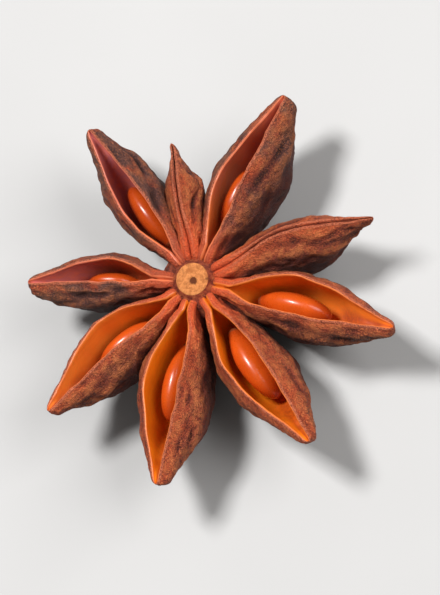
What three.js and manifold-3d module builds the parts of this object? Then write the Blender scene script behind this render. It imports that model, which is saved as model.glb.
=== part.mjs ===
// A dried star anise pod. Nine woody carpels, shaped like small boats, are grown together round a
// short central column, and most of them have split along the top seam and show one seed. The pod lies
// on its keels with the seams up. Millimetres, +Z up, with the origin on the ground under the middle
// of the pod's outline.
import * as THREE from 'three';
import { mergeVertices } from 'three/addons/utils/BufferGeometryUtils.js';
import Module from 'manifold-3d';

// The whole pod.
const SEAM_LEVEL = 7.9; // height of the seams above the ground, halfway along a carpel
const AXIS = { x: -1.529, y: 1.058 }; // the column's axis, from the middle of the outline

// The column, with the tan scar on its top and the stub of the stalk below.
const SCAR_RADIUS = 1.36;
const SCAR_LEVEL = 7.28;
const SCAR_DOME = 0.12;
const PIT = { x: 0.16, y: -0.12, radius: 0.28, depth: 0.16 }; // a small pit beside the middle of the scar
const COLLAR_RADIUS = 1.55; // of the groove round the scar
const COLLAR_DROP = 0.5;
const COLUMN_RADIUS = 2.9;
const COLUMN_SHOULDER = 2.2; // where its top starts to slope down between the carpels
const COLUMN_TOP = 6.9;
const COLUMN_FOOT = 3.1;
const STALK_RADIUS = 0.85;
const STALK_END = 1.35;

// What every carpel has.
const ROOT_RADIUS = 1.55; // where a carpel starts, from the column's axis
const WALL = 0.62; // husk wall at the belly
const FLOOR = 2.0; // husk under the seed, down to the keel
const SHALLOW = 0.5; // how much shallower the cavity is beyond the seed, as a share of its depth
const LIP = 0.26; // thickness of the seam's edge
const SUTURE = 0.06; // half width of a seam that is still shut
const SUTURE_DEPTH = 0.35;
const BELLY = { peak: 0.56, start: 0.26, rise: 1.35, fall: 1.6 };
const SHUT_BELLY = { peak: 0.6, start: 0.26, rise: 0.8, fall: 3.2 }; // shrunken, with a thin beak
const DEPTH = { peak: 0.4, start: 0.61, rise: 0.7, fall: 1.35 };
const GAPE = { peak: 0.44, end: 0.1, rise: 1.0, fall: 1.43 };
const ARCH = 0.75; // how much lower the seam is at the column than at mid length
const ROUND_ROOT = 0.05; // share of the length that is rounded off at the root, and at the tip
const ROUND_TIP = 0.04;
const FULLER = 0.6; // how much fuller a leaning carpel is on the side that it leans away from, per radian
const RIPPLE = 0.05; // how uneven the dried husk is, as a share of its width

// A seed stands on edge in its carpel.
const SEED_THICKNESS = 0.36; // shares of its length
const SEED_HEIGHT = 0.62;
const SEED_POINT = 0.22; // how much narrower its inner end is
const SEED_GAP = 0.62; // between the seed and the floor of its carpel, and beyond its outer end
const SEED_PITCH = 6; // how many degrees its outer end is tipped up

// Each carpel: its heading from +X in degrees; its length from the axis, its depth from seam to keel,
// half its greatest width and half its gape, which is 0 where the seam never opened; how far from the
// axis the seam starts to gape; how many degrees the seam leans to the left as seen along it from the
// column, how far its tip bends that way and how far it lifts; how blunt the tip is, as a share of the
// greatest width and depth; the length of its seed, the distance from the axis to the seed's middle, and
// how far the seed stands to the left.
const CARPELS = [
  ['east', -16.5, 17.0, 8.05, 2.4, 1.48, 3.0, 10, 0, 0.2, 0.23, 6.2, 7.9, -0.1],
  ['southeast', -55.7, 16.4, 8.05, 2.6, 1.37, 2.8, -6.5, 0.5, 0.1, 0.24, 6.8, 7.8, 0],
  ['south', -102.4, 16.4, 8.05, 2.85, 1.41, 2.3, -10, 0.95, 0, 0.25, 6.4, 7.9, 0],
  ['southwest', -142.3, 15.3, 8.05, 2.3, 1.3, 2.4, -14, 0.95, -0.3, 0.2, 5.9, 7.3, 0.1],
  ['west', 176.9, 13.3, 7.2, 2.1, 0.9, 3.1, -11, 0.6, -0.4, 0.34, 4.4, 6.9, 0],
  ['northwest', 125.5, 14.6, 8.05, 2.3, 0.97, 2.6, 4.5, -0.45, 0.3, 0.26, 5.8, 7.0, 0],
  ['north', 94, 11.1, 5.4, 1.6, 0, 0, 6, 1.05, -1.2, 0.1, 0, 0, 0],
  ['northeast', 63.1, 16.0, 8.05, 2.85, 0.95, 2.7, 11.5, -0.7, 0.2, 0.28, 6.0, 7.2, 0.05],
  ['eastnortheast', 19.1, 15.2, 8.05, 2.0, 0, 0, 14, -0.95, -0.3, 0.08, 0, 0, 0],
].map(([name, heading, length, depth, belly, gape, shut, lean, bend, lift, tip, seed, seedAt, seedLeft]) => ({
  name,
  heading: THREE.MathUtils.degToRad(heading),
  length,
  depth,
  belly,
  gape,
  shut,
  lean: THREE.MathUtils.degToRad(lean),
  bend,
  lift,
  tip,
  seed,
  seedAt,
  seedLeft,
}));

// Fineness of the mesh.
const RINGS = 18;
const OUTER_STEPS = 6;
const LIP_STEPS = 2;
const INNER_STEPS = 4;
const ROUND_STEPS = 36;

const { clamp, lerp, smoothstep } = THREE.MathUtils;

// 0 to 1 to 0 along a carpel: from `start` at the root up to 1 at `peak`, then down to `end` at the tip.
function swell({ peak, start, end, rise, fall }, t) {
  return t < peak
    ? start + (1 - start) * Math.sin((Math.PI / 2) * (t / peak)) ** rise
    : end + (1 - end) * Math.cos((Math.PI / 2) * ((t - peak) / (1 - peak))) ** fall;
}

// Shrinks a section to nothing in a round end at the tip.
function rounding(t) {
  const past = clamp((t - 1 + ROUND_TIP) / ROUND_TIP, 0, 1);
  return Math.sqrt(1 - past * past);
}

// The share of a carpel's length that lies within a distance from the pod's axis.
function shareAt(carpel, distance) {
  return (distance - ROOT_RADIUS) / (carpel.length - ROOT_RADIUS);
}

// Half the gape of a seam that starts to open where the carpel says.
function gapeAt(carpel, t) {
  const shut = Math.sin((Math.PI / 2) * (shareAt(carpel, carpel.shut) / GAPE.peak));
  return carpel.gape * swell({ ...GAPE, start: -shut / (1 - shut) }, t);
}

// How deep a carpel is at the share t of its length, before its tip is rounded off.
function depthAt(carpel, t) {
  return carpel.depth * swell({ ...DEPTH, end: carpel.tip }, t);
}

// The sizes of one carpel's section at the share t of its length.
function sectionOf(carpel, t) {
  const tip = Math.max(rounding(t), 0.12);
  const shape = carpel.gape > 0 ? BELLY : SHUT_BELLY;
  const belly = carpel.belly * swell({ ...shape, end: carpel.tip }, t) * tip;
  const depth = depthAt(carpel, t) * tip;
  const gape = Math.max(SUTURE, gapeAt(carpel, t)) * tip;
  const lip = Math.min(LIP, belly * 0.7) * tip;
  return { belly, depth, gape, lip };
}

// How hollow an open carpel is: it opens behind the shut part of its seam, is deep round the seed,
// shallower beyond it, and closes before the tip.
function hollowAt(carpel, t) {
  if (carpel.gape === 0) return 0;
  const mouth = shareAt(carpel, carpel.shut);
  const past = shareAt(carpel, carpel.seedAt + carpel.seed / 2 + SEED_GAP);
  const open = smoothstep(t, mouth - 0.03, mouth + 0.12) * (1 - smoothstep(t, 0.86, 0.985));
  return open * (1 - SHALLOW * smoothstep(t, past, past + 0.18));
}

// Half a section, from the keel over the lip and down to the floor of the cavity: the right half where
// side is 1, the left where it is -1. x is the distance from the carpel's middle plane and y the
// height above the seam.
function halfSection(carpel, t, side) {
  const { belly, depth, gape, lip } = sectionOf(carpel, t);
  const full = belly * (1 + side * FULLER * carpel.lean);
  const outer = new THREE.CubicBezierCurve(
    new THREE.Vector2(0, -depth),
    new THREE.Vector2(0.7 * full, -0.8 * depth),
    new THREE.Vector2(1.44 * full, -0.25 * depth),
    new THREE.Vector2(gape + lip, -lip / 2),
  );
  const bowl = hollowAt(carpel, t);
  const hollow = full - Math.min(WALL, 0.45 * full);
  const floor = lerp(Math.min(SUTURE_DEPTH, 0.4 * depth), depth - Math.min(FLOOR, 0.35 * depth), bowl);
  const inner = new THREE.CubicBezierCurve(
    new THREE.Vector2(gape, -lip / 2),
    new THREE.Vector2(lerp(gape, 1.5 * hollow, bowl), -floor / 2),
    new THREE.Vector2(hollow * bowl, -floor),
    new THREE.Vector2(0, -floor),
  );
  const edge = new THREE.EllipseCurve(gape + lip / 2, -lip / 2, lip / 2, lip / 2, 0, Math.PI);
  return [
    ...outer.getPoints(OUTER_STEPS),
    ...edge.getPoints(LIP_STEPS + 1).slice(1),
    ...inner.getPoints(INNER_STEPS).slice(1),
  ];
}

// Where a point of the section at the share t of a carpel's length is, in the carpel's own frame: x
// along it, y to its left, z up. The lean turns a section about a pivot deep in the carpel.
function inCarpel(carpel, t, point) {
  const root = clamp(1 - t / ROUND_ROOT, 0, 1);
  const level =
    SEAM_LEVEL -
    ARCH * clamp(1 - t / 0.45, 0, 1) ** 2 -
    COLLAR_DROP * (1 - Math.sqrt(1 - root * root)) +
    carpel.lift * smoothstep(t, 0.6, 1);
  const pivot = new THREE.Vector2(0, -0.55 * depthAt(carpel, t));
  const turned = point.clone().rotateAround(pivot, carpel.lean * smoothstep(t, 0.05, 0.5));
  return new THREE.Vector3(
    lerp(ROOT_RADIUS, carpel.length, t),
    -turned.x + carpel.bend * t * t,
    level + turned.y,
  );
}

// -1 to 1, a slow unevenness of the dried husk that is different on each carpel. `round` runs over the
// section from -1 at the right lip, past 0 at the keel, to 1 at the left lip.
function ripple(carpel, t, round) {
  const phase = 3 * carpel.heading;
  return (Math.sin(19 * t + 2.1 * round + phase) + Math.sin(31 * t - 3.7 * round + 2.3 * phase)) / 2;
}

// One closed ring round a carpel.
function ringAt(carpel, t) {
  const [right, left] = [1, -1].map((side) =>
    halfSection(carpel, t, side).map(({ x, y }, i) => {
      const round = -side * Math.min(i / OUTER_STEPS, 1);
      return new THREE.Vector2(side * x * (1 + RIPPLE * ripple(carpel, t, round)), y);
    }),
  );
  const loop = [...right, ...left.slice(1, -1).reverse()];
  return loop.map((point) => inCarpel(carpel, t, point));
}

// A closed surface through rings of equal count, with both ends fanned to their middles.
function loft(rings) {
  const count = rings[0].length;
  const middle = (ring) => ring.reduce((sum, p) => sum.add(p), new THREE.Vector3()).divideScalar(count);
  const points = [...rings.flat(), middle(rings[0]), middle(rings.at(-1))];
  const first = rings.length * count;
  const faces = [];
  for (let i = 0; i < count; i += 1) {
    const j = (i + 1) % count;
    faces.push([first, i, j]);
    for (let row = 0; row < rings.length - 1; row += 1) {
      const here = row * count;
      const next = here + count;
      faces.push([here + i, next + i, here + j], [here + j, next + i, next + j]);
    }
    faces.push([first + 1, first - count + j, first - count + i]);
  }
  const geometry = new THREE.BufferGeometry().setFromPoints(points);
  geometry.setIndex(faces.flat());
  return geometry;
}

// Rings stand closer together at the two ends, where a carpel's form changes fastest.
function carpelGeometry(carpel) {
  const stations = Array.from({ length: RINGS + 1 }, (_, i) => {
    const even = i / RINGS;
    return lerp(even, (1 - Math.cos(Math.PI * even)) / 2, 0.75);
  });
  return loft(stations.map((t) => ringAt(carpel, t))).rotateZ(carpel.heading);
}

// The column turned about the pod's axis: stalk stub, core, the groove round the scar and the scar
// itself.
function columnGeometry() {
  const profile = [
    [0, STALK_END],
    [STALK_RADIUS * 0.9, STALK_END + 0.1],
    [STALK_RADIUS, COLUMN_FOOT - 0.5],
    [STALK_RADIUS * 1.5, COLUMN_FOOT],
    [COLUMN_RADIUS, COLUMN_FOOT + 1],
    [COLUMN_RADIUS, COLUMN_TOP - 1.2],
    [COLUMN_SHOULDER, COLUMN_TOP - 0.3],
    [COLLAR_RADIUS, COLUMN_TOP],
    [SCAR_RADIUS, SCAR_LEVEL - 0.1],
    [SCAR_RADIUS * 0.9, SCAR_LEVEL],
    [0, SCAR_LEVEL + SCAR_DOME],
  ];
  return new THREE.LatheGeometry(
    profile.map(([radius, z]) => new THREE.Vector2(radius, z)),
    ROUND_STEPS,
  ).rotateX(Math.PI / 2);
}

// A seed along x, a little pointed at the end that faces the column.
function seedGeometry(length) {
  const geometry = new THREE.SphereGeometry(1, 16, 10).rotateZ(Math.PI / 2);
  const place = geometry.getAttribute('position');
  for (let i = 0; i < place.count; i += 1) {
    const taper = 1 - SEED_POINT * clamp(-place.getX(i), 0, 1) ** 2;
    place.setY(i, place.getY(i) * taper);
    place.setZ(i, place.getZ(i) * taper);
  }
  return geometry.scale(length / 2, (SEED_THICKNESS * length) / 2, (SEED_HEIGHT * length) / 2);
}

const wasm = await Module();
wasm.setup();

// A geometry as a solid that can be joined and cut.
function solid(geometry) {
  const bare = new THREE.BufferGeometry().setAttribute('position', geometry.getAttribute('position'));
  if (geometry.index) bare.setIndex(geometry.index);
  const merged = mergeVertices(bare, 1e-4);
  return new wasm.Manifold(
    new wasm.Mesh({
      numProp: 3,
      vertProperties: merged.getAttribute('position').array,
      triVerts: new Uint32Array(merged.index.array),
    }),
  );
}

// A solid as a geometry to show.
function geometryOf(shape) {
  const { vertProperties, triVerts } = shape.getMesh();
  const geometry = new THREE.BufferGeometry();
  geometry.setAttribute('position', new THREE.BufferAttribute(vertProperties, 3));
  geometry.setIndex(new THREE.BufferAttribute(triVerts, 1));
  return geometry.toNonIndexed();
}

// The husk is one piece: the column and all nine carpels, flattened where the keels rest on the
// ground, with the pit in the scar.
function huskGeometry() {
  const ground = new THREE.BoxGeometry(80, 80, 10).translate(0, 0, -5);
  const pit = new THREE.SphereGeometry(PIT.radius, 14, 8);
  pit.translate(PIT.x, PIT.y, SCAR_LEVEL + SCAR_DOME + PIT.radius - PIT.depth);
  const joined = CARPELS.map(carpelGeometry)
    .map(solid)
    .reduce((whole, carpel) => whole.add(carpel), solid(columnGeometry()));
  return geometryOf(joined.subtract(solid(ground)).subtract(solid(pit)));
}

const huskMaterial = new THREE.MeshStandardMaterial({ color: 0x7a3f2a, roughness: 0.75, metalness: 0 });
const seedMaterial = new THREE.MeshStandardMaterial({ color: 0xb8531a, roughness: 0.22, metalness: 0 });

const pod = new THREE.Group();
pod.position.set(AXIS.x, AXIS.y, 0);

const husk = new THREE.Mesh(huskGeometry(), huskMaterial);
husk.name = 'husk';
husk.geometry.computeVertexNormals();
pod.add(husk);

for (const carpel of CARPELS.filter(({ seed }) => seed > 0)) {
  const arm = new THREE.Group();
  arm.rotation.z = carpel.heading;
  const seed = new THREE.Mesh(seedGeometry(carpel.seed), seedMaterial);
  seed.name = `seed_${carpel.name}`;
  const middle = -carpel.depth + FLOOR + SEED_GAP + (SEED_HEIGHT * carpel.seed) / 2;
  const t = shareAt(carpel, carpel.seedAt);
  seed.position.copy(inCarpel(carpel, t, new THREE.Vector2(-carpel.seedLeft, middle)));
  seed.rotation.set(-carpel.lean, -THREE.MathUtils.degToRad(SEED_PITCH), 0);
  arm.add(seed);
  pod.add(arm);
}

export default pod;
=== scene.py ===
"""A dried star anise pod, dressed: nine woody carpels round a column, with a glossy seed in each open one."""

import logging
import math
from dataclasses import dataclass, field, replace
from enum import Enum
from typing import Any, ClassVar

import bmesh
import bpy
import numpy as np
from mathutils import Matrix, Vector, noise


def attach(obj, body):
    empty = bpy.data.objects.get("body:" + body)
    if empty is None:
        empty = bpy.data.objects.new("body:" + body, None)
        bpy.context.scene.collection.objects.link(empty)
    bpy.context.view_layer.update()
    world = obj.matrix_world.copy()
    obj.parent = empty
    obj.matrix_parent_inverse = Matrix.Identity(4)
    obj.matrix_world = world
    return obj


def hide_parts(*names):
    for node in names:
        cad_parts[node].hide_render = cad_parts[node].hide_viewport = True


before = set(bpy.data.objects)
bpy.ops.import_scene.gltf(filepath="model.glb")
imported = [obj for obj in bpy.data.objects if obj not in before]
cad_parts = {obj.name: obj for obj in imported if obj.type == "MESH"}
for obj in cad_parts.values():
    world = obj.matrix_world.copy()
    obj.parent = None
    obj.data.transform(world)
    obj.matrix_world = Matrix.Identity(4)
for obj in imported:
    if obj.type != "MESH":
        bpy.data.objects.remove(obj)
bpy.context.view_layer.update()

log = logging.getLogger("star_anise")

MM = 0.001  # metres in a millimetre; the forms below are worked out in millimetres

Triple = tuple[float, float, float]
Colour = tuple[float, float, float, float]
Socket = bpy.types.NodeSocket

# What a mesh tells its materials at each corner: where to read noise; its rim, relief and depth; its
# distance from the pod's axis, its greying and painted light and its share of the carpel's length; and
# its distance from the lip, how low it lies on the flank or far in on the lining, and its painted flank
# shade. On a seed, tone is how near the hilum it is and its dents, and place is how far along the seed it is
# and its painted shade.
LAYERS = ("grain", "tone", "place", "edge")


# ---- Shapes that carpels share ----


class Surface(Enum):
    """The surfaces of the husk, in the order of its material slots."""

    SKIN = 0
    LINING = 1
    SCAR = 2


def ease(value: np.ndarray | float, low: float, high: float) -> np.ndarray:
    """Rises smoothly from 0, where the value is low or less, to 1, where it is high or more."""
    share = np.clip((np.asarray(value, dtype=float) - low) / (high - low), 0.0, 1.0)
    return share * share * (3.0 - 2.0 * share)


def hump(value: np.ndarray, middle: float, width: float) -> np.ndarray:
    """Makes a smooth hump: 1 where the value is in the middle, and about a third a width away."""
    return np.exp(-(((value - middle) / width) ** 2))


def blend(start: Any, end: Any, share: Any) -> Any:
    """Mixes two values: start at share 0, end at share 1."""
    return start + (end - start) * share


def stacked(*values: Any) -> np.ndarray:
    """Stacks numbers and grids of numbers into one grid, with a row of all of them at each place."""
    return np.stack(np.broadcast_arrays(*values), axis=-1)


@dataclass(frozen=True)
class Swell:
    """A size that grows from the root of a carpel to its peak and shrinks again to the tip."""

    peak: float
    start: float
    rise: float
    fall: float

    def at(self, t: np.ndarray, end: float) -> np.ndarray:
        """Works out the swell.

        Args:
            t: shares of the carpel's length.
            end: the share of the full size that is left at the tip.

        Returns:
            The share of the full size there, 1 at the peak.
        """
        up = np.sin(np.clip(t / self.peak, 0.0, 1.0) * math.pi / 2) ** self.rise
        down = np.clip(np.cos(np.clip((t - self.peak) / (1 - self.peak), 0.0, 1.0) * math.pi / 2), 0.0, 1.0)
        before = self.start + (1 - self.start) * up
        after = end + (1 - end) * down**self.fall
        return np.where(t < self.peak, before, after)


@dataclass(frozen=True)
class PodForm:
    """The sizes that every carpel shares, in millimetres and shares of its length."""

    axis: tuple[float, float] = (-1.529, 1.058)
    seam_level: float = 7.9
    root_radius: float = 1.55
    wall: float = 0.62
    floor: float = 2.0
    shallow: float = 0.5
    shallow_over: float = 0.18
    opening: tuple[float, float] = (-0.03, 0.12)
    closing: tuple[float, float] = (0.86, 0.985)
    lip: float = 0.26
    suture: float = 0.06
    suture_depth: float = 0.35
    arch: float = 0.75
    arch_reach: float = 0.45
    collar_drop: float = 0.5
    round_root: float = 0.05
    round_tip: float = 0.04
    blunt: float = 0.12
    fuller: float = 0.6
    ripple: float = 0.05
    pivot: float = 0.55
    lean_over: tuple[float, float] = (0.05, 0.5)
    lift_over: tuple[float, float] = (0.6, 1.0)
    belly: Swell = Swell(0.56, 0.26, 1.35, 1.6)
    shut_belly: Swell = Swell(0.6, 0.26, 0.8, 3.2)
    depth: Swell = Swell(0.4, 0.61, 0.7, 1.35)
    gape: Swell = Swell(0.44, 0.0, 1.0, 1.43)
    gape_end: float = 0.1
    seed_gap: float = 0.62
    seed_pitch: float = 6.0


@dataclass(frozen=True)
class Carpel:
    """One boat-shaped carpel, in millimetres and degrees. A gape of 0 is a seam that never opened."""

    name: str
    heading: float
    length: float
    depth: float
    belly: float
    gape: float
    shut: float
    lean: float
    bend: float
    lift: float
    tip: float
    seed: float = 0.0
    seed_at: float = 0.0
    seed_left: float = 0.0
    # greying of the skin, a painted pinkish sheen on the lining and painted shade on the seed
    greying_and_painted_light: float = 0.0
    # painted shade on the carpel's flanks
    flank_shade: float = 0.0

    @property
    def is_open(self) -> bool:
        """Whether the seam has split."""
        return self.gape > 0

    def share(self, reach: float, form: PodForm) -> float:
        """Turns a distance from the pod's axis into a share of the carpel's length."""
        return (reach - form.root_radius) / (self.length - form.root_radius)

    def depth_at(self, t: np.ndarray, form: PodForm) -> np.ndarray:
        """Works out the depths at shares t of the length, before the tip is rounded off."""
        return self.depth * form.depth.at(t, self.tip)

    def gape_at(self, t: np.ndarray, form: PodForm) -> np.ndarray:
        """Works out the half gapes at shares t of the length; the seam opens where the carpel says."""
        before = math.sin(math.pi / 2 * self.share(self.shut, form) / form.gape.peak)
        return self.gape * replace(form.gape, start=-before / (1 - before)).at(t, form.gape_end)


CARPELS = (
    Carpel("east", -16.5, 17.0, 8.05, 2.4, 1.48, 3.0, 10.0, 0.0, 0.2, 0.23, 6.2, 7.9, -0.1, 0.1, 0.9),
    Carpel("southeast", -55.7, 16.4, 8.05, 2.6, 1.37, 2.8, -6.5, 0.5, 0.1, 0.24, 6.8, 7.8, 0.0, 0.0),
    Carpel("south", -102.4, 16.4, 8.05, 2.85, 1.41, 2.3, -10.0, 0.95, 0.0, 0.25, 6.4, 7.9, 0.0, 0.0),
    Carpel("southwest", -142.3, 15.3, 8.05, 2.3, 1.3, 2.4, -14.0, 0.95, -0.3, 0.2, 5.9, 7.3, 0.1, 0.15, 0.55),
    Carpel("west", 176.9, 13.3, 7.2, 2.1, 0.9, 3.1, -11.0, 0.6, -0.4, 0.34, 4.4, 6.9, 0.0, 0.8, 0.5),
    Carpel("northwest", 125.5, 14.6, 8.05, 2.3, 0.97, 2.6, 4.5, -0.45, 0.3, 0.26, 5.8, 7.0, 0.0, 0.9, 0.4),
    Carpel("north", 94.0, 11.1, 5.4, 1.6, 0.0, 0.0, 6.0, 1.05, -1.2, 0.1, greying_and_painted_light=0.2, flank_shade=0.2),
    Carpel("northeast", 63.1, 16.0, 8.05, 2.85, 0.95, 2.7, 11.5, -0.7, 0.2, 0.28, 6.0, 7.2, 0.05, 0.6, 0.65),
    Carpel("eastnortheast", 19.1, 15.2, 8.05, 2.0, 0.0, 0.0, 14.0, -0.95, -0.3, 0.08, greying_and_painted_light=0.05, flank_shade=0.3),
)


def in_scene(name: str, data: bpy.types.ID) -> bpy.types.Object:
    """Makes an object and links it to the scene.

    Args:
        name: the object's name.
        data: its mesh, light or camera.

    Returns:
        The object.
    """
    made = bpy.data.objects.new(name, data)
    bpy.context.scene.collection.objects.link(made)
    return made


@dataclass
class Patch:
    """A closed surface made of a grid of points, with what its materials need to know at each point."""

    points: np.ndarray
    grain: np.ndarray
    tone: np.ndarray
    place: np.ndarray
    edge: np.ndarray
    surfaces: np.ndarray

    @staticmethod
    def with_ends(grid: np.ndarray) -> np.ndarray:
        """Lists a grid's rows of three numbers, then the means of its first and last rings."""
        return np.vstack([grid.reshape(-1, 3), grid[0].mean(axis=0), grid[-1].mean(axis=0)])

    def build(self, name: str) -> bpy.types.Object:
        """Makes the closed mesh, with both ends fanned to their middles.

        Args:
            name: the new object's name.

        Returns:
            The object, linked to the scene.
        """
        rows, count = self.points.shape[:2]
        first = rows * count
        points = self.with_ends(self.points)
        here = (np.arange(rows - 1)[:, None] * count + np.arange(count)[None, :]).ravel()
        side = (np.arange(rows - 1)[:, None] * count + (np.arange(count) + 1)[None, :] % count).ravel()
        quads = np.stack([here, here + count, side + count, side], axis=1)
        ring = np.arange(count)
        beside = (ring + 1) % count
        root = np.stack([np.full(count, first), ring, beside], axis=1)
        tip = np.stack([np.full(count, first + 1), first - count + beside, first - count + ring], axis=1)
        mesh = bpy.data.meshes.new(name)
        mesh.from_pydata(points.tolist(), [], [*quads.tolist(), *root.tolist(), *tip.tolist()])
        material = np.concatenate([self.surfaces.ravel(), self.surfaces[0], self.surfaces[-1]])
        mesh.polygons.foreach_set("material_index", material.astype(np.int32))
        corner = np.zeros(len(mesh.loops), dtype=np.int32)
        mesh.loops.foreach_get("vertex_index", corner)
        for key in LAYERS:
            values = self.with_ends(getattr(self, key))
            layer = mesh.attributes.new(key, "FLOAT_VECTOR", "CORNER")
            layer.data.foreach_set("vector", values[corner].astype(np.float32).ravel())
        return in_scene(name, mesh)


def grid_normals(points: np.ndarray) -> np.ndarray:
    """Finds the outward normals of a grid whose columns close on themselves.

    Args:
        points: the grid, rows by columns by 3.

    Returns:
        A unit normal for each point.
    """
    along = np.gradient(points, axis=0)
    around = np.roll(points, -1, axis=1) - np.roll(points, 1, axis=1)
    normals = np.cross(around, along)
    size = np.linalg.norm(normals, axis=2, keepdims=True)
    return -normals / np.maximum(size, 1e-9)


def noise_at(spots: np.ndarray, stretch: Triple, shift: float = 0.0) -> np.ndarray:
    """Reads smooth noise at many points.

    Args:
        spots: the points, any shape ending in 3, in millimetres.
        stretch: the size of the noise's lumps along each axis.
        shift: moves the noise, so that several layers differ.

    Returns:
        Values of about -1 to 1, one for each point.
    """
    scaled = spots.reshape(-1, 3) / np.array(stretch) + shift
    return np.array([noise.noise(Vector(spot)) for spot in scaled]).reshape(spots.shape[:-1])


# ---- The husk ----


@dataclass
class CarpelShell:
    """The woody shell of one carpel: skin outside, lips along the seam, and the lining of its cavity."""

    carpel: Carpel
    number: int
    form: PodForm = field(default_factory=PodForm)
    rings: int = 92
    outer_steps: int = 34
    lip_steps: int = 5
    inner_steps: int = 13
    crowding: float = 1.25
    gathering: float = 0.75
    lump: float = 0.12
    lump_size: Triple = (2.6, 1.9, 1.9)
    wrinkle: float = 0.14
    wrinkle_size: Triple = (2.6, 0.75, 0.75)
    crumb: float = 0.075
    crumb_size: Triple = (0.7, 0.45, 0.45)
    lining_lump: float = 0.02
    lip_wave: float = 0.1
    lip_reach: float = 0.4
    rim_width: float = 0.15
    rope: float = 0.9
    rope_over: tuple[float, float] = (2.4, 5.5)
    cord: float = 0.1
    shoulder: float = 0.13
    fold_start: float = 0.35
    fold_slope: float = 2.9
    apart: float = 40.0

    def sizes(self, t: np.ndarray) -> tuple[np.ndarray, ...]:
        """Works out the sizes of the section.

        Args:
            t: shares of the carpel's length.

        Returns:
            The belly's half width, the depth, how hollow it is, the half gape and the lip's thickness.
        """
        form, carpel = self.form, self.carpel
        past = np.clip((t - 1 + form.round_tip) / form.round_tip, 0.0, 1.0)
        tip = np.maximum(np.sqrt(1 - past * past), form.blunt)
        swell = form.belly if carpel.is_open else form.shut_belly
        belly = carpel.belly * swell.at(t, carpel.tip) * tip
        depth = carpel.depth_at(t, form) * tip
        mouth = carpel.share(carpel.shut, form)
        opened = ease(t, mouth + form.opening[0], mouth + form.opening[1])
        split = opened * (1 - ease(t, *form.closing)) * carpel.is_open
        gape = np.maximum(form.suture, carpel.gape_at(t, form)) * tip
        reach = blend(form.root_radius, carpel.length, t)
        thick = form.lip * (1 + self.rope * (1 - ease(reach, *self.rope_over)))
        lip = np.minimum(thick, belly * 0.7) * tip
        beyond = carpel.share(carpel.seed_at + carpel.seed / 2 + form.seed_gap, form)
        bowl = split * (1 - form.shallow * ease(t, beyond, beyond + form.shallow_over))
        return belly, depth, bowl, gape, lip

    def half_sections(self, t: np.ndarray, side: int) -> np.ndarray:
        """Draws half of each section, from the keel over the lip to the cavity's floor.

        Args:
            t: shares of the carpel's length.
            side: 1 for the right half, -1 for the left.

        Returns:
            Points as (across, up), sections by points by 2.
        """
        belly, depth, bowl, gape, lip = (size[:, None] for size in self.sizes(t))
        u = 1 - np.linspace(1, 0, self.outer_steps + 1)[None, :] ** self.crowding
        full = belly * (1 + side * self.form.fuller * math.radians(self.carpel.lean))
        outer = bezier((0 * belly, -depth), (0.7 * full, -0.8 * depth), (1.44 * full, -0.25 * depth),
                       (gape + lip, -lip / 2), u)
        turn = np.linspace(0, math.pi, self.lip_steps + 1)[None, 1:]
        edge = np.stack([gape + lip / 2 + lip / 2 * np.cos(turn), -lip / 2 + lip / 2 * np.sin(turn)], axis=2)
        # Towards the tip the wall, the groove and the floor shrink with the carpel.
        hollow = full - np.minimum(self.form.wall, 0.45 * full)
        floor = blend(np.minimum(self.form.suture_depth, 0.4 * depth),
                      depth - np.minimum(self.form.floor, 0.35 * depth), bowl)
        v = np.linspace(0, 1, self.inner_steps + 1)[None, 1:]
        inner = bezier((gape, -lip / 2), (blend(gape, 1.5 * hollow, bowl), -floor / 2),
                       (hollow * bowl, -floor), (0 * belly, -floor), v)
        return np.concatenate([outer, edge, inner], axis=1)

    def ripple(self, t: np.ndarray, around: np.ndarray) -> np.ndarray:
        """The slow unevenness of the dried husk.

        Args:
            t: shares of the carpel's length.
            around: -1 at the right lip, 0 at the keel, 1 at the left lip.

        Returns:
            Values from -1 to 1.
        """
        phase = 3 * math.radians(self.carpel.heading)
        first = np.sin(19 * t + 2.1 * around + phase)
        second = np.sin(31 * t - 3.7 * around + 2.3 * phase)
        return (first + second) / 2

    def stand(self, t: np.ndarray, across: np.ndarray, up: np.ndarray) -> np.ndarray:
        """Puts points of the sections in the carpel's own frame.

        Args:
            t: shares of the carpel's length.
            across: distances to the right of the middle plane.
            up: heights above the seam.

        Returns:
            Points as (along, left, up).
        """
        form, carpel = self.form, self.carpel
        root = np.clip(1 - t / form.round_root, 0.0, 1.0)
        level = (form.seam_level - form.arch * np.clip(1 - t / form.arch_reach, 0.0, 1.0) ** 2
                 - form.collar_drop * (1 - np.sqrt(1 - root * root)) + carpel.lift * ease(t, *form.lift_over))
        pivot = -form.pivot * carpel.depth_at(t, form)
        lean = math.radians(carpel.lean) * ease(t, *form.lean_over)
        right = across * np.cos(lean) - (up - pivot) * np.sin(lean)
        height = across * np.sin(lean) + (up - pivot) * np.cos(lean) + pivot
        along = blend(form.root_radius, carpel.length, t)
        return stacked(along, -right + carpel.bend * t * t, level + height)

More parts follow.
